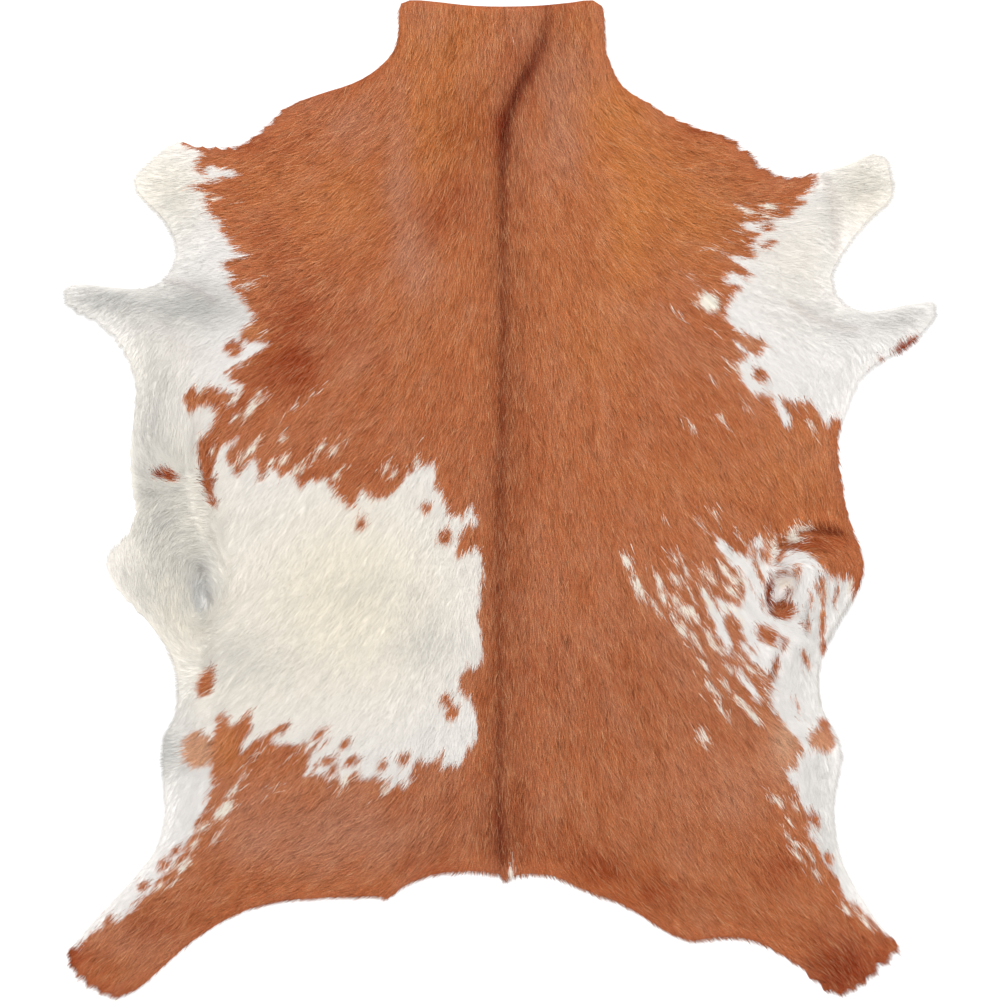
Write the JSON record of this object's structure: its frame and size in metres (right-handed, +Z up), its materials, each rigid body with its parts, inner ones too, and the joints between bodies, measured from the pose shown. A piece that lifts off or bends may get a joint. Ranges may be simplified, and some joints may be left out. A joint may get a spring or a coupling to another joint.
{
  "type": "goatskin rug",
  "caption": "Whole tanned hair-on goat hide laid flat as a floor rug, with neck, foreleg, flank and hind leg lobes, rust brown with white patches.",
  "frame": {"origin": "middle of the hide's bounding box, on the floor", "axes": "+Y from the hind legs towards the neck, +X towards the right as seen from above, +Z up"},
  "size_m": [0.785, 0.8976, 0.0125],
  "materials": {
    "brown_and_white_coat": "short sleek hair lying flat, rust brown with cream white patches and a dark line along the backbone",
    "flesh_side": "pale sueded underside with faint mottling"
  },
  "bodies": {
    "root": {"goat_hide": "brown_and_white_coat"}
  },
  "joints": []
}
